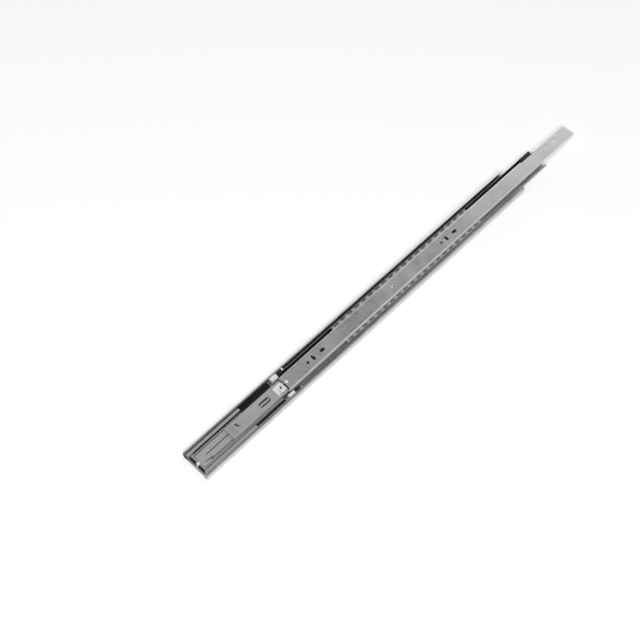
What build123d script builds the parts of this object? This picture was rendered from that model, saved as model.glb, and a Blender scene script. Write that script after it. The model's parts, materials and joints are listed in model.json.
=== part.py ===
from build123d import *
from math import asin, cos, degrees, radians, sin, sqrt
import os

# A three-section, full-extension, soft-closing ball-bearing drawer slide.
# +X points to the drawer front, +Y across the slide, +Z out of the open side.
# The cabinet rail's mounting face lies on Z = 0, with the origin at its middle.
# Places along the slide are distances from the cabinet rail's rear end.

os.makedirs("parts", exist_ok=True)

# ---------------------------------------------------------------- driving sizes
LENGTH = 600.0  # cabinet rail, and the whole slide when closed
WIDTH = 45.0
DEPTH = 12.7
SHEET = 1.2  # steel thickness of all three rails
BALL_RADIUS = 2.38
RACE_RADIUS = 2.44  # the rolled grooves that the balls run in
ROW_DROP = 2.4  # the inner ball rows lie this much lower than the outer ones
CLOSE_FIT = 0.02  # between a rivet and its hole

# where the moving members stand in the stored pose
INTERMEDIATE_REAR = 164.0
INTERMEDIATE_LENGTH = 491.0
DRAWER_REAR = 152.6
DRAWER_LENGTH = 571.4
CARRIAGE_REAR = 57.4

# the soft-close unit's base
BASE_REAR = 8.0
BASE_FRONT = 89.2

# ball cages
BALL_PITCH = 13.0
INNER_BALLS = 20
OUTER_BALLS = 14
INNER_CAGE_REAR = 252.0
OUTER_CAGE_REAR = 290.0
CAGE_END = 3.7  # strip beyond the last window

# ---------------------------------------------------------------- derived sizes
RACE_MIDDLE = RACE_RADIUS + SHEET / 2  # centreline radius of a rolled race
OUTER_Y = WIDTH / 2 - SHEET - RACE_RADIUS
OUTER_Z = DEPTH - SHEET - RACE_RADIUS
ROW_DISTANCE = 2 * RACE_RADIUS + SHEET
INNER_Y = OUTER_Y - sqrt(ROW_DISTANCE**2 - ROW_DROP**2)
INNER_Z = OUTER_Z - ROW_DROP
ROW_ANGLE = degrees(asin(ROW_DROP / ROW_DISTANCE))
DRAWER_FLARE = 35.0  # half the angle that the drawer rail wraps round a ball
DRAWER_HALF = INNER_Y - RACE_RADIUS * cos(radians(DRAWER_FLARE))
WEB_UNDERSIDE = DEPTH - SHEET  # underside of the drawer rail's web
SIDES = {"left": 1, "right": -1}  # seen from the rear, open side up


def along(distance):
    """X of a place given by its distance from the cabinet rail's rear end."""
    return distance - LENGTH / 2


def across(distance):
    """A section plane at that place, with local x along +Y and local y along +Z."""
    return Plane(origin=(along(distance), 0, 0), x_dir=(0, 1, 0), z_dir=(1, 0, 0))


def level(height):
    return Plane.XY.offset(height)


def save(piece, label):
    piece.part.label = label
    export_step(piece.part, f"parts/{label}.step")


def row_of(first, pitch, count):
    return [first + pitch * index for index in range(count)]


# ---------------------------------------------------------------- cabinet rail
CORNER = 3.0  # centreline radius between web and wall
LIP_SWEEP = 90.0  # how far the lip curls over the outer balls
TAB_HOLES = [35.0, 99.0, 291.0, 451.0]  # distances from the rail's front end
TAB_SECOND_HOLE = 16.5
TAB_LENGTH = 31.5
TAB_WIDTH = 14.5
TAB_SLIT = 1.3
TAB_ROOT = 6.0  # uncut stretch that holds the tab
TAB_OFFSET = 6.25  # from the screw hole to the tab's middle
CABINET_SLOTS = [71.0, 231.0, 391.0]
CABINET_ROUNDS = [135.0, 263.0, 423.0]
NOSE_HOLE = 7.0
CORNER_HOLES = (4.5, 16.0)  # from the front end, and to each side
CLIP_WINDOW = 515.0
CLIP_WINDOW_SIZE = (5.0, 4.0)
CLIP_HOLE = 595.0
SCREW_RADIUS = 2.3
SLOT_LENGTH = 9.0
ROUND_RADIUS = 2.5
SMALL_RADIUS = 1.5


def from_front(distance):
    """X of a place given by its distance from the cabinet rail's front end."""
    return LENGTH / 2 - distance


with BuildPart() as cabinet_rail:
    with BuildSketch(across(0)):
        with BuildLine():
            wall_y = WIDTH / 2 - SHEET / 2
            corner_y = wall_y - CORNER
            Line((0, SHEET / 2), (corner_y, SHEET / 2))
            CenterArc((corner_y, SHEET / 2 + CORNER), CORNER, -90, 90)
            Line((wall_y, SHEET / 2 + CORNER), (wall_y, OUTER_Z))
            CenterArc((OUTER_Y, OUTER_Z), RACE_MIDDLE, 0, LIP_SWEEP)
            mirror(about=Plane.YZ)
        trace(line_width=SHEET)
    extrude(amount=LENGTH)
    # slits that free the springy screw tabs
    with BuildSketch(Plane.XY):
        with Locations(*[(from_front(d + TAB_OFFSET), 0) for d in TAB_HOLES]):
            RectangleRounded(TAB_LENGTH, TAB_WIDTH, TAB_WIDTH / 3)
            RectangleRounded(
                TAB_LENGTH - 2 * TAB_SLIT,
                TAB_WIDTH - 2 * TAB_SLIT,
                TAB_WIDTH / 3 - TAB_SLIT,
                mode=Mode.SUBTRACT,
            )
        with Locations(
            *[(from_front(d + TAB_OFFSET + (TAB_LENGTH - TAB_ROOT) / 2), 0) for d in TAB_HOLES]
        ):
            Rectangle(TAB_ROOT, TAB_WIDTH, mode=Mode.SUBTRACT)
    extrude(amount=SHEET, mode=Mode.SUBTRACT)
    # screw holes, slots and clip holes
    with BuildSketch(Plane.XY):
        with Locations(*[(from_front(d), 0) for d in TAB_HOLES]):
            Circle(SCREW_RADIUS)
        with Locations(*[(from_front(d + TAB_SECOND_HOLE), 0) for d in TAB_HOLES]):
            Circle(SMALL_RADIUS)
        with Locations(*[(from_front(d), 0) for d in CABINET_SLOTS]):
            SlotOverall(SLOT_LENGTH, 2 * SCREW_RADIUS)
        with Locations(*[(from_front(d), 0) for d in CABINET_ROUNDS]):
            Circle(ROUND_RADIUS)
        with Locations((from_front(NOSE_HOLE), 0), (from_front(CLIP_HOLE), 0)):
            Circle(SMALL_RADIUS)
        with Locations(*[(from_front(CORNER_HOLES[0]), side * CORNER_HOLES[1]) for side in (1, -1)]):
            Circle(SMALL_RADIUS)
        with Locations((from_front(CLIP_WINDOW), 0)):
            Rectangle(*CLIP_WINDOW_SIZE)
    extrude(amount=SHEET, mode=Mode.SUBTRACT)
save(cabinet_rail, "cabinet_rail")

# ---------------------------------------------------------------- intermediate rail
WEB_MIDDLE = 2.2  # height of the web's mid-plane
WEB_HALF = 9.0
SHOULDER_Y = 11.4
OUTER_WRAP = 150.0  # direction from the outer ball to the lip's tip
STOP_SLOT = 9.0  # distances from this rail's front end
STOP_SLOT_LENGTH = 3.2
STOP_HALF = WEB_HALF - 1.1
EMBOSS_MIDDLE = 38.5
EMBOSS = (29.0, 11.0)
EMBOSS_RISE = 0.4
EMBOSS_WALL = 1.0
ACCESS_HOLES = [150.0, 310.0]
ACCESS_RADIUS = 5.0
INTERMEDIATE_FRONT = INTERMEDIATE_REAR + INTERMEDIATE_LENGTH

with BuildPart() as intermediate_rail:
    with BuildSketch(across(INTERMEDIATE_REAR)):
        with BuildLine():
            shoulder_z = INNER_Z - RACE_MIDDLE
            Line((0, WEB_MIDDLE), (WEB_HALF, WEB_MIDDLE))
            Line((WEB_HALF, WEB_MIDDLE), (SHOULDER_Y, shoulder_z))
            Line((SHOULDER_Y, shoulder_z), (INNER_Y, shoulder_z))
            CenterArc((INNER_Y, INNER_Z), RACE_MIDDLE, -90, 90 + ROW_ANGLE)
            CenterArc((OUTER_Y, OUTER_Z), RACE_MIDDLE, 180 + ROW_ANGLE, OUTER_WRAP - 180 - ROW_ANGLE)
            mirror(about=Plane.YZ)
        trace(line_width=SHEET)
    extrude(amount=INTERMEDIATE_LENGTH)
    with BuildSketch(level(WEB_MIDDLE - SHEET / 2)):
        with Locations((along(INTERMEDIATE_FRONT - STOP_SLOT), 0)):
            Rectangle(STOP_SLOT_LENGTH, 2 * STOP_HALF + 0.2)
        with Locations(*[(along(INTERMEDIATE_FRONT - d), 0) for d in ACCESS_HOLES]):
            Circle(ACCESS_RADIUS)
    extrude(amount=SHEET, mode=Mode.SUBTRACT)
    # an oblong pressed up out of the web
    with BuildSketch(level(WEB_MIDDLE + SHEET / 2)):
        with Locations((along(INTERMEDIATE_FRONT - EMBOSS_MIDDLE), 0)):
            SlotOverall(*EMBOSS)
    extrude(amount=EMBOSS_RISE)
    with BuildSketch(level(WEB_MIDDLE - SHEET / 2)):
        with Locations((along(INTERMEDIATE_FRONT - EMBOSS_MIDDLE), 0)):
            SlotOverall(EMBOSS[0] - 2 * EMBOSS_WALL, EMBOSS[1] - 2 * EMBOSS_WALL)
    extrude(amount=EMBOSS_RISE, mode=Mode.SUBTRACT)
save(intermediate_rail, "intermediate_rail")

# ---------------------------------------------------------------- drawer rail
SHOULDER_RADIUS = 2.0  # centreline radius between web and side
DRAWER_FRONT = DRAWER_REAR + DRAWER_LENGTH
HOLE_GROUPS = [30.0, 248.0, 504.0]  # distances of the long slots from the front end
CROSS_SLOT = 16.0  # further back than the long slot
GROUP_ROUND = 26.0
CROSS_SLOT_SIZE = (8.0, 4.2)
LONG_SLOT_SIZE = (8.0, 4.2)
DRAWER_ROUND_RADIUS = 2.0
DIMPLE_PLACE = 353.0
DIMPLE_RADIUS = 3.6
DIMPLE_DEPTH = 0.8
STRIKER_PLACE = 156.2
STRIKER_SHANK = 2.0
LEVER_PIVOT = 607.0
PIVOT_SHANK = 1.5
NOTCH_MIDDLE = 643.5
NOTCH_LENGTH = 27.0
NOTCH_INNER = 8.6
NOTCH_WIDTH = 4.0
NOTCH_BOTTOM = 8.2


def from_drawer_front(distance):
    return along(DRAWER_FRONT - distance)


with BuildPart() as drawer_rail:
    with BuildSketch(across(DRAWER_REAR)):
        with BuildLine():
            flat_z = DEPTH - SHEET / 2
            side_y = INNER_Y - RACE_MIDDLE * cos(radians(DRAWER_FLARE))
            side_z = INNER_Z + RACE_MIDDLE * sin(radians(DRAWER_FLARE))
            side_top = flat_z - SHOULDER_RADIUS
            shoulder_y = DRAWER_HALF - SHEET / 2
            Line((0, flat_z), (shoulder_y - SHOULDER_RADIUS, flat_z))
            CenterArc((shoulder_y - SHOULDER_RADIUS, side_top), SHOULDER_RADIUS, 0, 90)
            Line((shoulder_y, side_top), (side_y, side_z))
            CenterArc((INNER_Y, INNER_Z), RACE_MIDDLE, 180 - DRAWER_FLARE, 2 * DRAWER_FLARE)
            mirror(about=Plane.YZ)
        trace(line_width=SHEET)
    extrude(amount=DRAWER_LENGTH)
    with BuildSketch(level(WEB_UNDERSIDE)):
        with Locations(*[(from_drawer_front(d), 0) for d in HOLE_GROUPS]):
            SlotOverall(*LONG_SLOT_SIZE)
        with Locations(*[(from_drawer_front(d + CROSS_SLOT), 0) for d in HOLE_GROUPS]):
            SlotOverall(*CROSS_SLOT_SIZE, rotation=90)
        with Locations(*[(from_drawer_front(d + GROUP_ROUND), 0) for d in HOLE_GROUPS]):
            Circle(DRAWER_ROUND_RADIUS)
        with Locations((along(STRIKER_PLACE), 0)):
            Circle(STRIKER_SHANK + CLOSE_FIT)
        with Locations((along(LEVER_PIVOT), 0)):
            Circle(PIVOT_SHANK + CLOSE_FIT)
    extrude(amount=SHEET, mode=Mode.SUBTRACT)
    # the pressed dimple
    with Locations((along(DIMPLE_PLACE), 0, DEPTH - DIMPLE_DEPTH + DIMPLE_RADIUS)):
        Sphere(DIMPLE_RADIUS, mode=Mode.SUBTRACT)
    # the notch that the lever's finger works in
    with BuildSketch(level(NOTCH_BOTTOM)):
        with Locations((along(NOTCH_MIDDLE), NOTCH_INNER)):
            Rectangle(NOTCH_LENGTH, NOTCH_WIDTH, align=(Align.CENTER, Align.MIN))
    extrude(amount=DEPTH - NOTCH_BOTTOM, mode=Mode.SUBTRACT)
save(drawer_rail, "drawer_rail")

# ---------------------------------------------------------------- drawer rail's rivets
RIVET_HEAD = 0.4
STRIKER_HEAD = 3.0
PIVOT_HEAD = 3.2
LEVER_THICKNESS = 2.4
LEVER_PLAY = 0.15  # above the lever, and again below it


def flush_rivet(distance, shank, head, reach, label):
    """A rivet flush with the drawer rail's face, headed on the web's underside."""
    with BuildPart() as rivet:
        with BuildSketch(level(DEPTH)):
            with Locations((along(distance), 0)):
                Circle(shank)
        extrude(amount=-SHEET - reach)
        with BuildSketch(level(WEB_UNDERSIDE - reach)):
            with Locations((along(distance), 0)):
                Circle(head)
        extrude(amount=RIVET_HEAD)
    save(rivet, label)


flush_rivet(STRIKER_PLACE, STRIKER_SHANK, STRIKER_HEAD, RIVET_HEAD, "striker_rivet")
flush_rivet(
    LEVER_PIVOT,
    PIVOT_SHANK,
    PIVOT_HEAD,
    LEVER_THICKNESS + 2 * LEVER_PLAY + RIVET_HEAD,
    "lever_pivot_rivet",
)

# ---------------------------------------------------------------- release lever
LEVER_BOTTOM = WEB_UNDERSIDE - LEVER_PLAY - LEVER_THICKNESS
LEVER_HALF = 5.0
LEVER_TAIL = 592.0
TAIL_HALF = 2.5
FINGER_REAR = 633.4
FINGER_FRONT = 653.4
FINGER_ROOT = 14.8  # reach of the finger's root, below the intermediate rail's lip
PAD_Y = (11.0, 15.3)
PAD_TOP = 12.55
PAD_BOTTOM = 11.4
NECK = 6.0  # length of the bend between the arm and the finger

with BuildPart() as release_lever:
    with BuildSketch(level(LEVER_BOTTOM)):
        with BuildLine():
            Polyline(
                (along(LEVER_TAIL), -TAIL_HALF),
                (along(LEVER_PIVOT), -LEVER_HALF),
                (along(FINGER_REAR), 1.0),
                (along(FINGER_FRONT), 6.5),
                (along(FINGER_FRONT), FINGER_ROOT),
                (along(FINGER_REAR), FINGER_ROOT),
                (along(FINGER_REAR), 9.2),
                (along(FINGER_REAR - NECK), 7.0),
                (along(LEVER_PIVOT), LEVER_HALF),
                (along(LEVER_TAIL), TAIL_HALF),
                close=True,
            )
        make_face()
        with Locations((along(LEVER_PIVOT), 0)):
            Circle(PIVOT_SHANK + 4 * CLOSE_FIT, mode=Mode.SUBTRACT)
    extrude(amount=LEVER_THICKNESS)
    # the finger's pad steps up through the notch and over the intermediate rail
    for y_range, bottom in (((PAD_Y[0], FINGER_ROOT), LEVER_BOTTOM), (PAD_Y, PAD_BOTTOM)):
        with BuildSketch(level(bottom)):
            with Locations((along((FINGER_REAR + FINGER_FRONT) / 2), sum(y_range) / 2)):
                Rectangle(FINGER_FRONT - FINGER_REAR, y_range[1] - y_range[0])
        extrude(amount=PAD_TOP - bottom)
    fillet(release_lever.edges().filter_by(Axis.Z).group_by(Axis.X)[0], 1.0)
save(release_lever, "release_lever")

# ---------------------------------------------------------------- balls and cages
CAGE_SHEET = 0.7
WINDOW_LENGTH = 8.6
WINDOW_HALF = 1.3
BALL_HOLE = BALL_RADIUS + 0.08
FLANGE_Z = 9.35
FLANGE_Y = (11.75, 14.85)
INNER_STRIP_BOTTOM = 5.6
OUTER_STRIP_Z = (4.4, 9.8)


def ball_row(first, count, y, z, label):
    with BuildPart() as balls:
        with Locations(*[(along(x), y, z) for x in row_of(first, BALL_PITCH, count)]):
            Sphere(BALL_RADIUS)
    save(balls, label)


def cage_length(count):
    return BALL_PITCH * (count - 1) + WINDOW_LENGTH + 2 * CAGE_END


def strip(y, z_range):
    """An upright strip's section, in a plane across the slide."""
    with Locations((y, sum(z_range) / 2)):
        Rectangle(CAGE_SHEET, z_range[1] - z_range[0])


def inner_cage(side, label):
    """An angle strip: its top flange has a window over every ball."""
    first = INNER_CAGE_REAR + CAGE_END + WINDOW_LENGTH / 2
    places = [along(x) for x in row_of(first, BALL_PITCH, INNER_BALLS)]
    flange_middle = side * sum(FLANGE_Y) / 2
    with BuildPart() as cage:
        with BuildSketch(across(INNER_CAGE_REAR)):
            with Locations((flange_middle, FLANGE_Z + CAGE_SHEET / 2)):
                Rectangle(FLANGE_Y[1] - FLANGE_Y[0], CAGE_SHEET)
            strip(side * INNER_Y, (INNER_STRIP_BOTTOM, FLANGE_Z))
        extrude(amount=cage_length(INNER_BALLS))
        with BuildSketch(level(FLANGE_Z)):
            with Locations(*[(x, flange_middle) for x in places]):
                SlotOverall(WINDOW_LENGTH, 2 * WINDOW_HALF)
        extrude(amount=CAGE_SHEET, mode=Mode.SUBTRACT)
        with BuildSketch(Plane.XZ.offset(-side * INNER_Y)):
            with Locations(*[(x, INNER_Z) for x in places]):
                Circle(BALL_HOLE)
        extrude(amount=CAGE_SHEET, both=True, mode=Mode.SUBTRACT)
    save(cage, label)
    return first


def outer_cage(side, label):
    """A flat strip standing between the cabinet rail and the intermediate rail."""
    first = OUTER_CAGE_REAR + CAGE_END + WINDOW_LENGTH / 2
    places = [along(x) for x in row_of(first, BALL_PITCH, OUTER_BALLS)]
    with BuildPart() as cage:
        with BuildSketch(across(OUTER_CAGE_REAR)):
            strip(side * OUTER_Y, OUTER_STRIP_Z)
        extrude(amount=cage_length(OUTER_BALLS))
        with BuildSketch(Plane.XZ.offset(-side * OUTER_Y)):
            with Locations(*[(x, OUTER_Z) for x in places]):
                Circle(BALL_HOLE)
                Rectangle(2 * BALL_HOLE, 2 * BALL_HOLE, align=(Align.CENTER, Align.MIN))
        extrude(amount=CAGE_SHEET, both=True, mode=Mode.SUBTRACT)
    save(cage, label)
    return first


for name, side in SIDES.items():
    first_inner = inner_cage(side, f"inner_cage_{name}")
    ball_row(first_inner, INNER_BALLS, side * INNER_Y, INNER_Z, f"inner_balls_{name}")
    first_outer = outer_cage(side, f"outer_cage_{name}")
    ball_row(first_outer, OUTER_BALLS, side * OUTER_Y, OUTER_Z, f"outer_balls_{name}")

# ---------------------------------------------------------------- intermediate rail's plastic ends
GLIDE_REAR = 144.6
GLIDE_FRONT = 154.6
GLIDE_Y = (13.3, 18.3)
GLIDE_Z = (4.0, 10.6)
GLIDE_CORNER = 1.0
PLUG_RADIUS = RACE_RADIUS - 0.12
PLUG_REACH = 2.5  # how far the plug runs into the intermediate rail
PLUG_NECK = 1.2  # radius of the plug where it passes through the rear buffer
BUFFER_INSET = 0.4
FRONT_BUFFER = (580.0, 591.0)


def rounded_block(side, inset):
    """The glides' section, on one side, drawn in by inset."""
    width = GLIDE_Y[1] - GLIDE_Y[0] - 2 * inset
    height = GLIDE_Z[1] - GLIDE_Z[0] - 2 * inset
    with Locations((side * sum(GLIDE_Y) / 2, sum(GLIDE_Z) / 2)):
        RectangleRounded(width, height, GLIDE_CORNER)


def race_plug(side, rear, front, radius=PLUG_RADIUS):
    """A round plug along the outer race between two places."""
    with BuildSketch(across(rear)) as section:
        with Locations((side * OUTER_Y, OUTER_Z)):
            Circle(radius)
    extrude(section.sketch, amount=front - rear)


for name, side in SIDES.items():
    with BuildPart() as rear_glide:
        with BuildSketch(across(GLIDE_REAR)):
            rounded_block(side, 0)
        extrude(amount=GLIDE_FRONT - GLIDE_REAR)
        race_plug(side, GLIDE_REAR, GLIDE_FRONT)
        race_plug(side, GLIDE_FRONT, INTERMEDIATE_REAR, PLUG_NECK)
        race_plug(side, INTERMEDIATE_REAR, INTERMEDIATE_REAR + PLUG_REACH)
    save(rear_glide, f"rear_glide_{name}")

    with BuildPart() as rear_buffer:
        with BuildSketch(across(GLIDE_FRONT)):
            rounded_block(side, BUFFER_INSET)
            with Locations((side * OUTER_Y, OUTER_Z)):
                Circle(PLUG_RADIUS)
                Circle(PLUG_NECK + CLOSE_FIT, mode=Mode.SUBTRACT)
        extrude(amount=INTERMEDIATE_REAR - GLIDE_FRONT)
    save(rear_buffer, f"rear_buffer_{name}")

    with BuildPart() as front_buffer:
        race_plug(side, *FRONT_BUFFER)
    save(front_buffer, f"front_buffer_{name}")

# ---------------------------------------------------------------- hold-out stop
STOP_TOP = 7.9
STOP_LENGTH = 3.0
STOP_ROUNDING = 0.8

with BuildPart() as hold_out_stop:
    with BuildSketch(level(WEB_MIDDLE - SHEET / 2)):
        with Locations((along(INTERMEDIATE_FRONT - STOP_SLOT), 0)):
            Rectangle(STOP_LENGTH, 2 * STOP_HALF)
    extrude(amount=STOP_TOP - WEB_MIDDLE + SHEET / 2)
    fillet(hold_out_stop.edges().filter_by(Axis.Y).group_by(Axis.Z)[-1], STOP_ROUNDING)
save(hold_out_stop, "hold_out_stop")

# ---------------------------------------------------------------- soft-close base
BAND_REAR = 2.8
BAND_Y = (14.4, 18.2)  # hollow bands outside the drawer rail's feet
BAND_TOP = 9.2
BAND_WALL = 1.2
FLOOR_TOP = 4.0
CORE_HALF = 9.4
CORE_TOP = 7.9
CORE_FRONT = 74.0
KERB_Y = (12.3, 13.3)
KERB_TOP = 5.4
KERBS = [(12.0, 28.0), (36.0, 50.0), (62.0, 84.0)]
FIN_Y = (1.5, -7.6)  # the carriage's two fins reach down through slots in the roof
FIN_THICKNESS = 1.0
FIN_LENGTH = 22.0
SLOT_WIDTH = 1.5
SLOT_REAR = 20.0
UNIT_Z = 4.4  # height of the damper's and the spring's axes
DAMPER_Y = -2.45
DAMPER_RADIUS = 2.8
DAMPER_BORE = 2.2
DAMPER_REAR = 10.0
SPRING_Y = 6.0
SPRING_RADIUS = 1.9
SPRING_CHANNEL = 2.3
WIRE_RADIUS = 0.3
SPRING_TURNS = 40
LUG = (130.0, 134.0)
LUG_Y = (-8.4, 9.0)
LUG_Z = (3.4, 6.6)
LUG_CLEARANCE = 0.4
PEG = (4.6, 3.6)
PEG_BOTTOM = 0.1
POINTER_GROOVE = ((12.0, -5.0), (25.0, -6.1))
POINTER_WIDTH = 1.6
POINTER_DEPTH = 3.2
DRAIN_Y = (10.7, 11.6)  # a narrow groove along each side of the core
DRAIN_DEPTH = 2.2
REAR_SILL = (5.6, 8.0)
REAR_SILL_Y = (2.4, 14.4)
REAR_SILL_TOP = 5.0
TONGUE_Y = (6.8, 11.0)  # thin tongues on the cabinet rail's web, below the carriage
TONGUE_TOP = 1.45
TONGUE_FRONT = 141.0
JOIN_NOTCH = (85.9, 89.2)  # where the guide strips' tails drop through the floor
JOIN_NOTCH_Y = (14.5, 16.9)
FINGER_WELL = (67.5, 74.0)  # the roof is open below the carriage's finger hole
FINGER_WELL_Y = (1.0, 8.4)


def block(y_range, z_range):
    """A rectangle in a plane across the slide, given by its Y and Z ranges."""
    with Locations((sum(y_range) / 2, sum(z_range) / 2)):
        Rectangle(y_range[1] - y_range[0], z_range[1] - z_range[0])


def on_side(side, y_range):
    return tuple(sorted(side * y for y in y_range))


with BuildPart() as soft_close_base:
    with BuildSketch(across(BASE_REAR)):
        block((-BAND_Y[1], BAND_Y[1]), (SHEET, FLOOR_TOP))
        block((-CORE_HALF, CORE_HALF), (SHEET, CORE_TOP))
    extrude(amount=BASE_FRONT - BASE_REAR)
    with BuildSketch(across(BAND_REAR)):
        for side in SIDES.values():
            block(on_side(side, (BAND_Y[1] - BAND_WALL, BAND_Y[1])), (SHEET, BAND_TOP))
            block(on_side(side, BAND_Y), (BAND_TOP - BAND_WALL, BAND_TOP))
    extrude(amount=BASE_FRONT - BAND_REAR)
    with BuildSketch(across(REAR_SILL[0])):
        for side in SIDES.values():
            block(on_side(side, REAR_SILL_Y), (SHEET, REAR_SILL_TOP))
    extrude(amount=REAR_SILL[1] - REAR_SILL[0])
    with BuildSketch(across(BASE_REAR)):
        for side in SIDES.values():
            block(on_side(side, DRAIN_Y), (FLOOR_TOP - DRAIN_DEPTH, FLOOR_TOP))
    extrude(amount=BASE_FRONT - BASE_REAR, mode=Mode.SUBTRACT)
    with BuildSketch(across(JOIN_NOTCH[0])):
        for side in SIDES.values():
            block(on_side(side, JOIN_NOTCH_Y), (SHEET, FLOOR_TOP))
    extrude(amount=JOIN_NOTCH[1] - JOIN_NOTCH[0], mode=Mode.SUBTRACT)
    for kerb_rear, kerb_front in KERBS:
        with BuildSketch(across(kerb_rear)):
            for side in SIDES.values():
                block(on_side(side, KERB_Y), (FLOOR_TOP, KERB_TOP))
        extrude(amount=kerb_front - kerb_rear)
    # the damper's bore and the spring's bore
    with BuildSketch(across(DAMPER_REAR)):
        with Locations((DAMPER_Y, UNIT_Z)):
            Circle(DAMPER_RADIUS + CLOSE_FIT)
        with Locations((SPRING_Y, UNIT_Z)):
            Circle(SPRING_CHANNEL)
    extrude(amount=BASE_FRONT - DAMPER_REAR, mode=Mode.SUBTRACT)
    # the open well that the carriage's lug and the catch come back into
    with BuildSketch(across(CORE_FRONT)):
        block((-CORE_HALF, CORE_HALF), (LUG_Z[0] - LUG_CLEARANCE, CORE_TOP))
    extrude(amount=BASE_FRONT - CORE_FRONT, mode=Mode.SUBTRACT)
    with BuildSketch(across(FINGER_WELL[0])):
        block(FINGER_WELL_Y, (LUG_Z[0] - LUG_CLEARANCE, CORE_TOP))
    extrude(amount=FINGER_WELL[1] - FINGER_WELL[0], mode=Mode.SUBTRACT)
    # the fins' slots in the roof
    with BuildSketch(across(SLOT_REAR)):
        for fin in FIN_Y:
            slot_y = (fin - SLOT_WIDTH / 2, fin + SLOT_WIDTH / 2)
            block(slot_y, (LUG_Z[0] - LUG_CLEARANCE, CORE_TOP))
    extrude(amount=CORE_FRONT - SLOT_REAR, mode=Mode.SUBTRACT)
    with BuildSketch(across(BASE_FRONT)):
        for side in SIDES.values():
            block(on_side(side, TONGUE_Y), (SHEET, TONGUE_TOP))
    extrude(amount=TONGUE_FRONT - BASE_FRONT)
    # a pointer groove in the roof, and the peg that snaps into the cabinet rail
    with BuildSketch(level(CORE_TOP)):
        with BuildLine():
            Line(*[(along(x), y) for x, y in POINTER_GROOVE])
        trace(line_width=POINTER_WIDTH)
    extrude(amount=-POINTER_DEPTH, mode=Mode.SUBTRACT)
    with BuildSketch(level(PEG_BOTTOM)):
        with Locations((from_front(CLIP_WINDOW), 0)):
            Rectangle(*PEG)
    extrude(amount=SHEET - PEG_BOTTOM)
save(soft_close_base, "soft_close_base")

# ---------------------------------------------------------------- clip and rear stop
CLIP_SIZE = (4.0, 4.0)
CLIP_FORWARD = 0.8  # the clip's head stands this much ahead of its peg
CLIP_TOP = 6.8
CLIP_ROUNDING = 0.5
REAR_STOP = (3.0, 5.4)
REAR_STOP_Y = (2.4, 13.0)
REAR_STOP_TOP = 5.2
REAR_STOP_ROUNDING = 0.8

with BuildPart() as base_clip:
    with BuildSketch(level(SHEET)):
        with Locations((from_front(CLIP_HOLE) + CLIP_FORWARD, 0)):
            Rectangle(*CLIP_SIZE)
    extrude(amount=CLIP_TOP - SHEET)
    fillet(base_clip.edges().group_by(Axis.Z)[-1], CLIP_ROUNDING)
    with BuildSketch(level(PEG_BOTTOM)):
        with Locations((from_front(CLIP_HOLE), 0)):
            Circle(SMALL_RADIUS - CLOSE_FIT)
    extrude(amount=SHEET - PEG_BOTTOM)
save(base_clip, "base_clip")

for name, side in SIDES.items():
    with BuildPart() as rear_stop:
        with BuildSketch(across(REAR_STOP[0])):
            block(on_side(side, REAR_STOP_Y), (SHEET, REAR_STOP_TOP))
        extrude(amount=REAR_STOP[1] - REAR_STOP[0])
        fillet(rear_stop.edges().filter_by(Axis.Y).group_by(Axis.Z)[-1], REAR_STOP_ROUNDING)
    save(rear_stop, f"rear_stop_{name}")

# ---------------------------------------------------------------- guide strips
GUIDE_REAR = BASE_FRONT + 0.2
GUIDE_FRONT = TONGUE_FRONT
# section of one strip: flat on the cabinet rail's web, then up along its wall
GUIDE_SECTION = [
    (11.1, 1.2),
    (18.3, 1.2),
    (21.2, 4.3),
    (21.2, 6.4),
    (20.4, 6.4),
    (20.4, 4.7),
    (17.9, 2.2),
    (11.1, 2.2),
]

TAIL_REAR = 10.0  # each strip runs back under the base's hollow band
TAIL_Y = (13.7, 16.8)
TAIL_INNER_Y = 14.6
TAIL_Z = (FLOOR_TOP, 7.8)
TAIL_FLANGE = 0.5
TAIL_JOIN = 3.4  # length of the block that joins the tail to the strip

for name, side in SIDES.items():
    with BuildPart() as guide_strip:
        with BuildSketch(across(GUIDE_REAR)):
            with BuildLine():
                Polyline(*[(side * y, z) for y, z in GUIDE_SECTION], close=True)
            make_face()
        extrude(amount=GUIDE_FRONT - GUIDE_REAR)
        with BuildSketch(across(GUIDE_REAR - TAIL_JOIN)):
            block(on_side(side, (TAIL_INNER_Y, TAIL_Y[1])), (SHEET, TAIL_Z[1]))
        extrude(amount=TAIL_JOIN)
        with BuildSketch(across(TAIL_REAR)):
            block(on_side(side, (TAIL_INNER_Y, TAIL_Y[1])), TAIL_Z)
            block(on_side(side, TAIL_Y), (TAIL_Z[0], TAIL_Z[0] + TAIL_FLANGE))
        extrude(amount=GUIDE_REAR - TAIL_REAR)
    save(guide_strip, f"guide_strip_{name}")

# ---------------------------------------------------------------- damper and spring
ROD_RADIUS = 0.9
CAP_LENGTH = 3.0
PISTON_LENGTH = 3.0
PISTON_GAP = 0.4  # between the armed piston and the cap
DAMPER_WALL = 1.5
PISTON_FIT = 0.05
SPRING_END_GAP = 0.5
PISTON_FRONT = CORE_FRONT - CAP_LENGTH - PISTON_GAP


def rod_along_x(rear, front, radius, hole=0.0):
    """A round bar or tube on the damper's axis."""
    with BuildSketch(across(rear)) as section:
        with Locations((DAMPER_Y, UNIT_Z)):
            Circle(radius)
            if hole:
                Circle(hole, mode=Mode.SUBTRACT)
    extrude(section.sketch, amount=front - rear)


with BuildPart() as damper_cylinder:
    rod_along_x(DAMPER_REAR, DAMPER_REAR + DAMPER_WALL, DAMPER_RADIUS)
    rod_along_x(DAMPER_REAR + DAMPER_WALL, CORE_FRONT, DAMPER_RADIUS, DAMPER_BORE)
save(damper_cylinder, "damper_cylinder")

with BuildPart() as damper_cap:
    cap_rear = CORE_FRONT - CAP_LENGTH
    rod_along_x(cap_rear, CORE_FRONT, DAMPER_BORE - CLOSE_FIT, ROD_RADIUS + PISTON_FIT)
save(damper_cap, "damper_cap")

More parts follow.
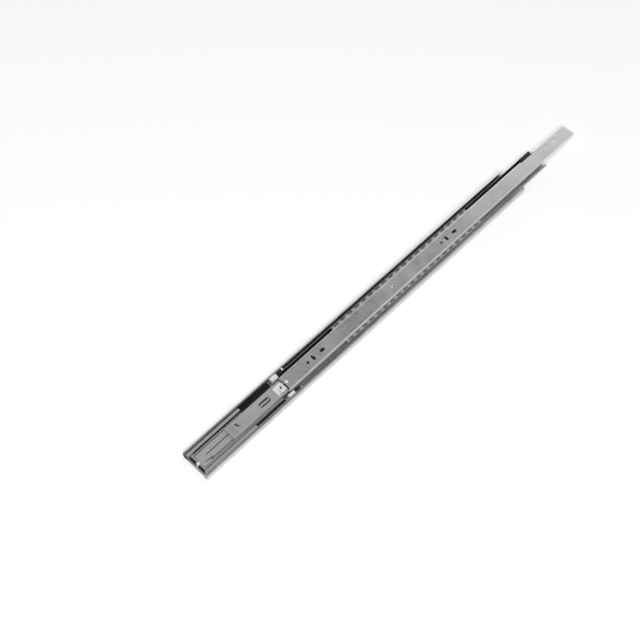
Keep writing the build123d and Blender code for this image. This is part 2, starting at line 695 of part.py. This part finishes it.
with BuildPart() as damper_piston:
    rod_along_x(PISTON_FRONT - PISTON_LENGTH, PISTON_FRONT, DAMPER_BORE - PISTON_FIT)
save(damper_piston, "damper_piston")

with BuildPart() as damper_rod:
    rod_along_x(PISTON_FRONT, LUG[0], ROD_RADIUS)
save(damper_rod, "damper_rod")

spring_length = LUG[0] - DAMPER_REAR - 2 * WIRE_RADIUS - 2 * SPRING_END_GAP
spring_start = (along(DAMPER_REAR + WIRE_RADIUS + SPRING_END_GAP), SPRING_Y, UNIT_Z)
with BuildPart() as closing_spring:
    with BuildLine() as coil:
        Helix(
            pitch=spring_length / SPRING_TURNS,
            height=spring_length,
            radius=SPRING_RADIUS - WIRE_RADIUS,
            center=spring_start,
            direction=(1, 0, 0),
        )
    with BuildSketch(Plane(origin=coil.line @ 0, z_dir=coil.line % 0)):
        Circle(WIRE_RADIUS)
    sweep(path=coil.line, is_frenet=True)
save(closing_spring, "closing_spring")

# ---------------------------------------------------------------- closing carriage
PLATE_HALF = 9.8
PLATE_Z = (8.2, 10.8)
PLATE_CHAMFER = 0.6
CHEEK_FRONT = 150.0
CHEEK_Y = (6.9, 9.4)
CHEEK_BOTTOM = 6.2
CATCH_HALF = 6.5
CATCH_REAR = 136.5
CATCH_GAP = 1.0  # between the plate and the catch's tail
PIN_PLACE = (142.0, 7.7)
PIN_RADIUS = 1.0
POCKET_MIDDLE = 117.5
POCKET = (18.5, 7.4)
POCKET_ISLAND = (13.8, 2.4)
ISLAND_TOP = 9.6
BAR_THICKNESS = 0.8  # the bar that carries the island
BAR_WIDTH = 1.6
BAR_ROOT = 1.0  # how far the bar's ends run into the plate
RIB_PLACES = [60.0, 62.2, 64.4, 66.6]
RIB_GROOVE = 0.9
RIB_DEPTH = 0.6
RIB_MARGIN = 1.5
FINGER_HOLE = (71.6, 3.4)
FINGER_HOLE_RADIUS = 2.0
FINGER_SLOT_END = (74.4, -1.4)
FINGER_SLOT_WIDTH = 2.2

with BuildPart() as carriage_plate:
    with BuildSketch(level(PLATE_Z[0])):
        with Locations((along((CARRIAGE_REAR + CHEEK_FRONT) / 2), 0)):
            Rectangle(CHEEK_FRONT - CARRIAGE_REAR, 2 * PLATE_HALF)
        with Locations((along(CATCH_REAR - CATCH_GAP), 0)):
            Rectangle(
                CHEEK_FRONT - CATCH_REAR + CATCH_GAP,
                2 * CHEEK_Y[0],
                align=(Align.MIN, Align.CENTER),
                mode=Mode.SUBTRACT,
            )
    extrude(amount=PLATE_Z[1] - PLATE_Z[0])
    chamfer(carriage_plate.edges().filter_by(Axis.X).group_by(Axis.Z)[-1], PLATE_CHAMFER)
    # cheeks reach down to carry the catch's pin
    with BuildSketch(across(LUG[0])):
        for side in SIDES.values():
            block(on_side(side, CHEEK_Y), (CHEEK_BOTTOM, PLATE_Z[0]))
    extrude(amount=CHEEK_FRONT - LUG[0])
    # fins through the base's roof, and the lug that the rod and the spring pull on
    with BuildSketch(across(LUG[0] - FIN_LENGTH)):
        for fin in FIN_Y:
            block((fin - FIN_THICKNESS / 2, fin + FIN_THICKNESS / 2), (LUG_Z[0], PLATE_Z[0]))
    extrude(amount=LUG[1] - LUG[0] + FIN_LENGTH)
    with BuildSketch(across(LUG[0])):
        block(LUG_Y, LUG_Z)
    extrude(amount=LUG[1] - LUG[0])
    # an oblong window, and an island on a bar that runs through it
    with BuildSketch(level(PLATE_Z[0])):
        with Locations((along(POCKET_MIDDLE), 0)):
            SlotOverall(*POCKET)
    extrude(amount=PLATE_Z[1] - PLATE_Z[0], mode=Mode.SUBTRACT)
    with BuildSketch(level(PLATE_Z[0])):
        with Locations((along(POCKET_MIDDLE), 0)):
            Rectangle(POCKET[0] + 2 * BAR_ROOT, BAR_WIDTH)
    extrude(amount=BAR_THICKNESS)
    with BuildSketch(level(PLATE_Z[0])):
        with Locations((along(POCKET_MIDDLE), 0)):
            SlotOverall(*POCKET_ISLAND)
    extrude(amount=ISLAND_TOP - PLATE_Z[0])
    # the finger hole with its tail, and the grip ribs at the rear end
    with BuildSketch(level(PLATE_Z[0])):
        with Locations((along(FINGER_HOLE[0]), FINGER_HOLE[1])):
            Circle(FINGER_HOLE_RADIUS)
        with BuildLine():
            hole_middle = (along(FINGER_HOLE[0]), FINGER_HOLE[1])
            slot_end = (along(FINGER_SLOT_END[0]), FINGER_SLOT_END[1])
            TangentArc(hole_middle, slot_end, tangent=(-0.25, -1))
        trace(line_width=FINGER_SLOT_WIDTH)
    extrude(amount=PLATE_Z[1] - PLATE_Z[0], mode=Mode.SUBTRACT)
    with BuildSketch(level(PLATE_Z[1])):
        with Locations(*[(along(place), 0) for place in RIB_PLACES]):
            Rectangle(RIB_GROOVE, 2 * (PLATE_HALF - RIB_MARGIN))
    extrude(amount=-RIB_DEPTH, mode=Mode.SUBTRACT)
    # the catch pin's hole
    with BuildSketch(Plane.XZ.offset(-PLATE_HALF)):
        with Locations((along(PIN_PLACE[0]), PIN_PLACE[1])):
            Circle(PIN_RADIUS + CLOSE_FIT)
    extrude(amount=2 * PLATE_HALF, mode=Mode.SUBTRACT)
save(carriage_plate, "carriage_plate")

with BuildPart() as catch_pin:
    with BuildSketch(Plane.XZ.offset(-CHEEK_Y[1])):
        with Locations((along(PIN_PLACE[0]), PIN_PLACE[1])):
            Circle(PIN_RADIUS)
    extrude(amount=2 * CHEEK_Y[1])
save(catch_pin, "catch_pin")

# ---------------------------------------------------------------- catch
# side view of the catch: it tips nose down about its pin, so its tail is cut low
CATCH_PROFILE = [
    (CATCH_REAR, 6.3),
    (CATCH_REAR, 9.6),
    (140.5, 10.5),
    (143.0, 10.8),
    (150.9, 10.8),
    (151.6, 9.8),
    (151.6, 6.4),
    (148.0, 5.4),
    (140.0, 5.6),
]
CATCH_MOUTH = (146.2, 0.4)
MOUTH_SIZE = (5.6, 3.0)
MOUTH_ANGLE = 60.0
STEP_MIDDLE = (139.6, -3.4)  # the tail's low corner on one side
STEP_SIZE = (6.4, 6.4)
STEP_TOP = 8.7

with BuildPart() as catch_hook:
    with BuildSketch(Plane.XZ.offset(-CATCH_HALF)):
        with BuildLine():
            Polyline(*[(along(x), z) for x, z in CATCH_PROFILE], close=True)
        make_face()
        with Locations((along(PIN_PLACE[0]), PIN_PLACE[1])):
            Circle(PIN_RADIUS + PISTON_FIT, mode=Mode.SUBTRACT)
    extrude(amount=2 * CATCH_HALF)
    with BuildSketch(Plane.XY):
        with Locations((along(CATCH_MOUTH[0]), CATCH_MOUTH[1])):
            SlotOverall(*MOUTH_SIZE, rotation=MOUTH_ANGLE)
    extrude(amount=DEPTH, mode=Mode.SUBTRACT)
    with BuildSketch(level(STEP_TOP)):
        with Locations((along(STEP_MIDDLE[0]), STEP_MIDDLE[1])):
            Rectangle(*STEP_SIZE)
    extrude(amount=DEPTH - STEP_TOP, mode=Mode.SUBTRACT)
save(catch_hook, "catch_hook")
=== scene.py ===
import json
from math import cos, radians, sin

import bpy
from mathutils import Matrix, Vector

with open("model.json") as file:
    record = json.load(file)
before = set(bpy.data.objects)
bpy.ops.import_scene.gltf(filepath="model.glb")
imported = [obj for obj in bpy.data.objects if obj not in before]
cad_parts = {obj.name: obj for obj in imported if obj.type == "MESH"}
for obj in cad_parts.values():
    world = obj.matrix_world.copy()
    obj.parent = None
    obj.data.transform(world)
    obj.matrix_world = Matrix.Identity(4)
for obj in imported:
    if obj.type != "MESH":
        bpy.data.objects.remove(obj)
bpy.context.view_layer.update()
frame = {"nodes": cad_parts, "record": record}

MM = 0.001
nodes = frame["nodes"]

# lengths in metres, in the row frame
BALL_ROWS = [(13.27 * MM, 6.66 * MM), (18.86 * MM, 9.06 * MM)]  # Y and Z of their axes
GREASE_AND_SHADE_RADIUS = 2.48 * MM  # just over the ball tracks' own radius
GREASE_AND_SHADE_FADE = 0.15 * MM
BEND_START = 9.7 * MM  # from the middle line to where the drawer rail is bent down
BEND_FADE = 0.7 * MM
EDGE_WEAR_AND_HIGHLIGHT_RADIUS = 0.6 * MM  # reach of the lighter band along a steel edge: part wear, part painted highlight

# shares, from 0 to 1
GREASE_AND_SHADE_COVER = 0.9
EDGE_WEAR_AND_HIGHLIGHT_COVER = 0.85
EDGE_WEAR_AND_HIGHLIGHT_METALLIC = 0.35
NOISE_ROUGHNESS = 0.55

# colour of the grease in the ball tracks, darkened further as painted shade
GREASE_AND_SHADE_COLOUR = (0.05, 0.048, 0.044)
BEVEL_SAMPLES = 6


# ------------------------------------------------------------------ node helpers
class Graph:
    """A material's node tree, with short calls for the nodes used below."""

    def __init__(self, name):
        self.material = bpy.data.materials.new(name)
        self.material.use_nodes = True
        self.tree = self.material.node_tree
        self.shader = self.tree.nodes["Principled BSDF"]

    def add(self, kind, **settings):
        node = self.tree.nodes.new(kind)
        for key, value in settings.items():
            setattr(node, key, value)
        return node

    def link(self, source, target):
        self.tree.links.new(source, target)

    def set(self, **values):
        """Constants on the shader's own sockets."""
        for name, value in values.items():
            self.shader.inputs[name.replace("_", " ")].default_value = value

    def place(self, scale=(1, 1, 1)):
        """Row-frame coordinates, in metres, stretched by scale."""
        coordinates = self.add("ShaderNodeTexCoord")
        mapping = self.add("ShaderNodeMapping")
        mapping.inputs["Scale"].default_value = scale
        self.link(coordinates.outputs["Object"], mapping.inputs["Vector"])
        return mapping.outputs["Vector"]

    def noise(self, place, scale, detail=3.0):
        """A noise value at that place; each octave is weaker than the one before."""
        node = self.add("ShaderNodeTexNoise")
        node.inputs["Scale"].default_value = scale
        node.inputs["Detail"].default_value = detail
        node.inputs["Roughness"].default_value = NOISE_ROUGHNESS
        self.link(place, node.inputs["Vector"])
        return node.outputs["Fac"]

    def near_row(self, y, z, radius):
        """1 within that radius of the ball rows at +y and -y, which run along X."""
        parts = self.add("ShaderNodeSeparateXYZ")
        self.link(self.place(), parts.inputs["Vector"])
        gap = self.add("ShaderNodeCombineXYZ")
        side = self.math("ABSOLUTE", parts.outputs["Y"], 0.0)
        self.link(self.math("SUBTRACT", side, y), gap.inputs["Y"])
        self.link(self.math("SUBTRACT", parts.outputs["Z"], z), gap.inputs["Z"])
        length = self.add("ShaderNodeVectorMath", operation="LENGTH")
        self.link(gap.outputs["Vector"], length.inputs[0])
        return self.spread(length.outputs["Value"], radius, radius + GREASE_AND_SHADE_FADE, 1.0, 0.0)

    def greased_and_shaded(self, tone):
        """Dark grease with painted shade in the ball tracks, over the given colour."""
        rows = [self.near_row(y, z, GREASE_AND_SHADE_RADIUS) for y, z in BALL_ROWS]
        cover = self.math("MULTIPLY", self.math("MAXIMUM", *rows), GREASE_AND_SHADE_COVER)
        return self.blend(cover, tone, GREASE_AND_SHADE_COLOUR)

    def beyond(self, distance, fade):
        """1 past that distance from the slide's middle line, fading to 0 inside it."""
        parts = self.add("ShaderNodeSeparateXYZ")
        self.link(self.place(), parts.inputs["Vector"])
        side = self.math("ABSOLUTE", parts.outputs["Y"], 0.0)
        return self.spread(side, distance - fade, distance)

    def spread(self, value, low, high, to_low=0.0, to_high=1.0):
        """Maps low..high to to_low..to_high, and holds the ends."""
        node = self.add("ShaderNodeMapRange")
        for name, number in (
            ("From Min", low),
            ("From Max", high),
            ("To Min", to_low),
            ("To Max", to_high),
        ):
            node.inputs[name].default_value = number
        self.link(value, node.inputs["Value"])
        return node.outputs["Result"]

    def math(self, operation, first, second):
        """One sum on two values, each a number or another node's output."""
        node = self.add("ShaderNodeMath", operation=operation)
        for socket, value in zip(node.inputs, (first, second)):
            if isinstance(value, (int, float)):
                socket.default_value = value
            else:
                self.link(value, socket)
        return node.outputs[0]

    def blend(self, factor, first, second):
        """A colour between two, each a tuple or another node's output."""
        node = self.add("ShaderNodeMix", data_type="RGBA")
        self.link(factor, node.inputs["Factor"])
        for socket, value in ((node.inputs[6], first), (node.inputs[7], second)):
            if isinstance(value, tuple):
                socket.default_value = (*value, 1.0)
            else:
                self.link(value, socket)
        return node.outputs[2]

    def edge(self, radius):
        """1 along sharp edges, fading to 0 on open surfaces."""
        bevel = self.add("ShaderNodeBevel", samples=BEVEL_SAMPLES)
        bevel.inputs["Radius"].default_value = radius
        geometry = self.add("ShaderNodeNewGeometry")
        dot = self.add("ShaderNodeVectorMath", operation="DOT_PRODUCT")
        self.link(bevel.outputs["Normal"], dot.inputs[0])
        self.link(geometry.outputs["Normal"], dot.inputs[1])
        return self.spread(dot.outputs["Value"], 0.99, 0.75)

    def bumps(self, layers, bevel_radius):
        """layers: (height, strength, distance). Laid over softly rounded edges."""
        bevel = self.add("ShaderNodeBevel", samples=BEVEL_SAMPLES)
        bevel.inputs["Radius"].default_value = bevel_radius
        normal = bevel.outputs["Normal"]
        for height, strength, distance in layers:
            bump = self.add("ShaderNodeBump")
            bump.inputs["Strength"].default_value = strength
            bump.inputs["Distance"].default_value = distance
            self.link(height, bump.inputs["Height"])
            self.link(normal, bump.inputs["Normal"])
            normal = bump.outputs["Normal"]
        self.link(normal, self.shader.inputs["Normal"])

    def colour(self, output):
        self.link(output, self.shader.inputs["Base Color"])

    def gloss(self, output):
        self.link(output, self.shader.inputs["Roughness"])


# ------------------------------------------------------------------ materials
def rolled_zinc(name, bend=None):
    """Zinc-plated strip: lengthwise rolling lines, faint clouding, grease and painted shade in the
    ball tracks, and bright edges that are part wear, part painted highlight.

    bend is the distance from the slide's middle line, in metres, where the strip is bent
    down along both sides: a painted highlight is laid on the bends from there outwards.
    """
    g = Graph(name)
    lines = g.noise(g.place((5, 900, 900)), 1.0, 4.0)
    broad_lines = g.noise(g.place((2, 160, 160)), 1.0, 2.0)
    clouds = g.noise(g.place(), 38, 4.0)
    grain = g.noise(g.place(), 1900, 2.0)
    scratches = g.noise(g.place((30, 2600, 2600)), 1.0, 1.0)
    scratch_mask = g.spread(scratches, 0.70, 0.76)
    tone = g.blend(g.spread(clouds, 0.35, 0.65), (0.56, 0.553, 0.56), (0.66, 0.652, 0.66))
    tone = g.blend(g.spread(lines, 0.3, 0.7, 0.0, 0.35), tone, (0.50, 0.493, 0.50))
    tone = g.blend(g.math("MULTIPLY", scratch_mask, 0.5), tone, (0.78, 0.775, 0.78))
    # grease and painted shade in the ball tracks
    tone = g.greased_and_shaded(tone)
    # edges coloured lighter and less metallic: part wear, part painted highlight
    edges = g.edge(EDGE_WEAR_AND_HIGHLIGHT_RADIUS)
    # past the bend, a painted highlight: the drawer rail's bent-down sides are coloured lighter
    # and less metallic
    if bend:
        edges = g.math("MAXIMUM", edges, g.beyond(bend, BEND_FADE))
    # lighter colour on the edges and bends: painted highlight, with some wear on the edges
    tone = g.blend(g.math("MULTIPLY", edges, EDGE_WEAR_AND_HIGHLIGHT_COVER), tone, (0.88, 0.875, 0.88))
    g.colour(tone)
    g.link(g.spread(edges, 0.0, 1.0, 1.0, EDGE_WEAR_AND_HIGHLIGHT_METALLIC), g.shader.inputs["Metallic"])
    clouded = g.spread(clouds, 0.3, 0.7, 0.24, 0.33)
    lined = g.spread(lines, 0.3, 0.7, -0.04, 0.05)
    g.gloss(g.math("ADD", clouded, lined))
    g.bumps(
        [(broad_lines, 0.10, 0.05 * MM), (lines, 0.16, 0.03 * MM), (grain, 0.10, 0.01 * MM)],
        0.22 * MM,
    )
    return g.material


def cage_strip():
    """Thin bright strip steel with a film of grease, darkened near the ball rows by grease and
    painted shade.
    """
    g = Graph("cage_strip")
    g.set(Metallic=0.6)
    lines = g.noise(g.place((20, 1200, 1200)), 1.0, 3.0)
    film = g.noise(g.place(), 260, 3.0)
    tone = g.blend(g.spread(film, 0.35, 0.7), (0.58, 0.575, 0.565), (0.48, 0.47, 0.455))
    g.colour(g.greased_and_shaded(tone))
    g.gloss(g.spread(film, 0.3, 0.7, 0.38, 0.52))
    g.bumps([(lines, 0.12, 0.02 * MM)], 0.12 * MM)
    return g.material


def greased_shaded_ball():
    """Hard bright steel, coloured near black: partly its grease, partly painted shade deep in the
    ball tracks.
    """
    g = Graph("greased_shaded_ball")
    g.set(Metallic=1.0)
    film = g.noise(g.place(), 420, 3.0)
    # near-black: grease plus painted shade
    g.colour(g.blend(g.spread(film, 0.4, 0.7), (0.05, 0.05, 0.052), (0.02, 0.02, 0.019)))
    g.gloss(g.spread(film, 0.35, 0.7, 0.3, 0.45))
    return g.material


def bright_steel(name, roughness):
    """Turned or headed steel pins, with fine rings and clouding."""
    g = Graph(name)
    g.set(Metallic=1.0)
    marks = g.noise(g.place((900, 900, 900)), 1.0, 3.0)
    clouds = g.noise(g.place(), 300, 3.0)
    g.colour(g.blend(g.spread(clouds, 0.35, 0.65), (0.70, 0.70, 0.71), (0.82, 0.82, 0.83)))
    g.gloss(g.spread(clouds, 0.3, 0.7, roughness - 0.05, roughness + 0.07))
    g.bumps([(marks, 0.08, 0.02 * MM)], 0.15 * MM)
    return g.material


def moulded(name, dark, light, roughness, grain=0.16, specular=0.45):
    """Injection-moulded plastic: spark-eroded grain, flow marks, softly rounded edges."""
    g = Graph(name)
    g.set(Specular_IOR_Level=specular)
    flow = g.noise(g.place((20, 60, 60)), 1.0, 3.0)
    grains = g.noise(g.place(), 1500, 2.0)
    tone = g.blend(g.spread(flow, 0.3, 0.7), dark, light)
    # edges are coloured lighter than the faces
    lighter_edge_tone = tuple(min(1.0, value * 1.25 + 0.02) for value in light)
    tone = g.blend(g.math("MULTIPLY", g.edge(0.3 * MM), 0.5), tone, lighter_edge_tone)
    g.colour(tone)
    g.gloss(g.spread(flow, 0.3, 0.7, roughness - 0.05, roughness + 0.07))
    g.bumps([(grains, grain, 0.02 * MM)], 0.2 * MM)
    return g.material


def rubber():
    """Black rubber with a little dust; its black also stands in for the shade in the dark pocket
    at the cabinet rail's rear end.
    """
    g = Graph("rubber")
    g.set(Specular_IOR_Level=0.3)
    dust = g.noise(g.place(), 180, 4.0)
    # near-black: the rubber's own colour, also painted shade for the pocket at the rear end
    g.colour(g.blend(g.spread(dust, 0.45, 0.75), (0.012, 0.012, 0.013), (0.04, 0.04, 0.042)))
    g.gloss(g.spread(dust, 0.3, 0.7, 0.55, 0.78))
    g.bumps([(g.noise(g.place(), 1200, 2.0), 0.2, 0.03 * MM)], 0.25 * MM)
    return g.material


finishes = {
    "zinc_steel": rolled_zinc("rolled_zinc"),
    "cage_steel": cage_strip(),
    "ball_steel": greased_shaded_ball(),
    "rivet_steel": bright_steel("rivet_steel", 0.24),
    "spring_steel": bright_steel("spring_steel", 0.3),
    "grey_plastic": moulded("grey_plastic", (0.36, 0.358, 0.36), (0.42, 0.418, 0.42), 0.42),
    "white_plastic": moulded("white_plastic", (0.80, 0.80, 0.79), (0.88, 0.88, 0.87), 0.36, 0.1),
    "black_plastic": moulded("black_plastic", (0.010, 0.010, 0.011), (0.018, 0.018, 0.019), 0.4),
    "damper_plastic": moulded("damper_plastic", (0.26, 0.26, 0.27), (0.31, 0.31, 0.32), 0.3, 0.05),
    "black_rubber": rubber(),
}
# the drawer rail gets a painted highlight along its bends
zinc_with_bend_highlight = rolled_zinc("rolled_zinc_bend_highlight", bend=BEND_START)
for subpart in frame["record"]["subparts"]:
    mesh = nodes[subpart["node"]].data
    finish = finishes[subpart["material_slot"]]
    mesh.materials.clear()
    mesh.materials.append(zinc_with_bend_highlight if subpart["node"] == "drawer_rail" else finish)


# ------------------------------------------------------------------ floor
FLOOR_SIZE = 8
FLOOR_DROP = 0.1 * MM  # below the mounting face, so the two don't share a plane


def floor():
    bpy.ops.mesh.primitive_plane_add(size=FLOOR_SIZE, location=(0, 0, -FLOOR_DROP))
    plane = bpy.context.object
    plane.name = "floor"
    g = Graph("floor")
    g.set(Base_Color=(0.93, 0.93, 0.93, 1), Roughness=0.9, Specular_IOR_Level=0.1)
    g.set(Emission_Color=(1, 1, 1, 1), Emission_Strength=0.25)
    plane.data.materials.append(g.material)


floor()


# ------------------------------------------------------------------ light
def direction(azimuth, elevation):
    """A unit vector: azimuth from +X towards +Y, elevation above the floor."""
    a, e = radians(azimuth), radians(elevation)
    return (cos(a) * cos(e), sin(a) * cos(e), sin(e))


def studio_sky(base, discs):
    """An even sky with soft-edged bright discs: (azimuth, elevation, inner, outer, strength).

    A disc has its full strength within the inner angle and fades out at the outer one.
    """
    world = bpy.data.worlds.new("studio")
    bpy.context.scene.world = world
    world.use_nodes = True
    tree = world.node_tree
    background = tree.nodes["Background"]
    background.inputs["Color"].default_value = (1, 1, 1, 1)
    coordinates = tree.nodes.new("ShaderNodeTexCoord")
    total = None
    for azimuth, elevation, inner, outer, strength in discs:
        dot = tree.nodes.new("ShaderNodeVectorMath")
        dot.operation = "DOT_PRODUCT"
        dot.inputs[1].default_value = direction(azimuth, elevation)
        tree.links.new(coordinates.outputs["Generated"], dot.inputs[0])
        fade = tree.nodes.new("ShaderNodeMapRange")
        fade.interpolation_type = "SMOOTHSTEP"
        fade.inputs["From Min"].default_value = cos(radians(outer))
        fade.inputs["From Max"].default_value = cos(radians(inner))
        tree.links.new(dot.outputs["Value"], fade.inputs["Value"])
        step = tree.nodes.new("ShaderNodeMath")
        step.operation = "MULTIPLY_ADD"
        step.inputs[1].default_value = strength
        tree.links.new(fade.outputs["Result"], step.inputs[0])
        if total:
            tree.links.new(total, step.inputs[2])
        else:
            step.inputs[2].default_value = base
        total = step.outputs[0]
    tree.links.new(total, background.inputs["Strength"])


studio_sky(
    base=0.05,
    discs=[
        (15, 25, 18, 39, 1.35),  # beyond the drawer end
        (76, 74, 6, 21, 0.85),  # above the rear end
        (-45, 28, 12, 28, 0.6),  # beside the drawer end
        (-67, 4, 8, 20, 0.6),  # beside the slide, low
        (54, 16, 9, 21, 1.8),  # behind the slide, low
    ],
)


def softbox(name, azimuth, elevation, distance, size, power):
    """A rectangular lamp at that distance, facing the slide: metres and watts."""
    data = bpy.data.lights.new(name, "AREA")
    data.shape = "RECTANGLE"
    data.size, data.size_y = size
    data.energy = power
    light = bpy.data.objects.new(name, data)
    bpy.context.scene.collection.objects.link(light)
    light.location = Vector(direction(azimuth, elevation)) * distance
    light.rotation_mode = "QUATERNION"
    light.rotation_quaternion = light.location.to_track_quat("Z", "Y")


softbox("key_softbox", azimuth=222, elevation=52, distance=4.4, size=(3.0, 2.2), power=136)


# ------------------------------------------------------------------ camera
CAMERA_PLACE = (-0.5872, -0.4798, 1.2920)
CAMERA_HEADING = 43.67  # degrees from +X towards +Y
CAMERA_TILT = 59.89  # degrees below the horizon
CAMERA_ROLL = 0.72
FOCAL_PIXELS = 1145.3
PICTURE_PIXELS = 640
SENSOR_WIDTH = 36  # mm
NEAREST = 10 * MM


def add_camera():
    data = bpy.data.cameras.new("camera")
    data.sensor_width = SENSOR_WIDTH
    data.lens = FOCAL_PIXELS / PICTURE_PIXELS * SENSOR_WIDTH
    data.clip_start = NEAREST
    camera = bpy.data.objects.new("camera", data)
    bpy.context.scene.collection.objects.link(camera)
    heading, tilt, roll = radians(CAMERA_HEADING), radians(CAMERA_TILT), radians(CAMERA_ROLL)
    forward = Vector((cos(tilt) * cos(heading), cos(tilt) * sin(heading), -sin(tilt)))
    right = forward.cross(Vector((0, 0, 1))).normalized()
    up = right.cross(forward)
    right, up = right * cos(roll) + up * sin(roll), up * cos(roll) - right * sin(roll)
    matrix = Matrix((right, up, -forward)).transposed().to_4x4()
    matrix.translation = Vector(CAMERA_PLACE)
    camera.matrix_world = matrix
    bpy.context.scene.camera = camera


add_camera()
bpy.context.scene.view_settings.view_transform = "Standard"
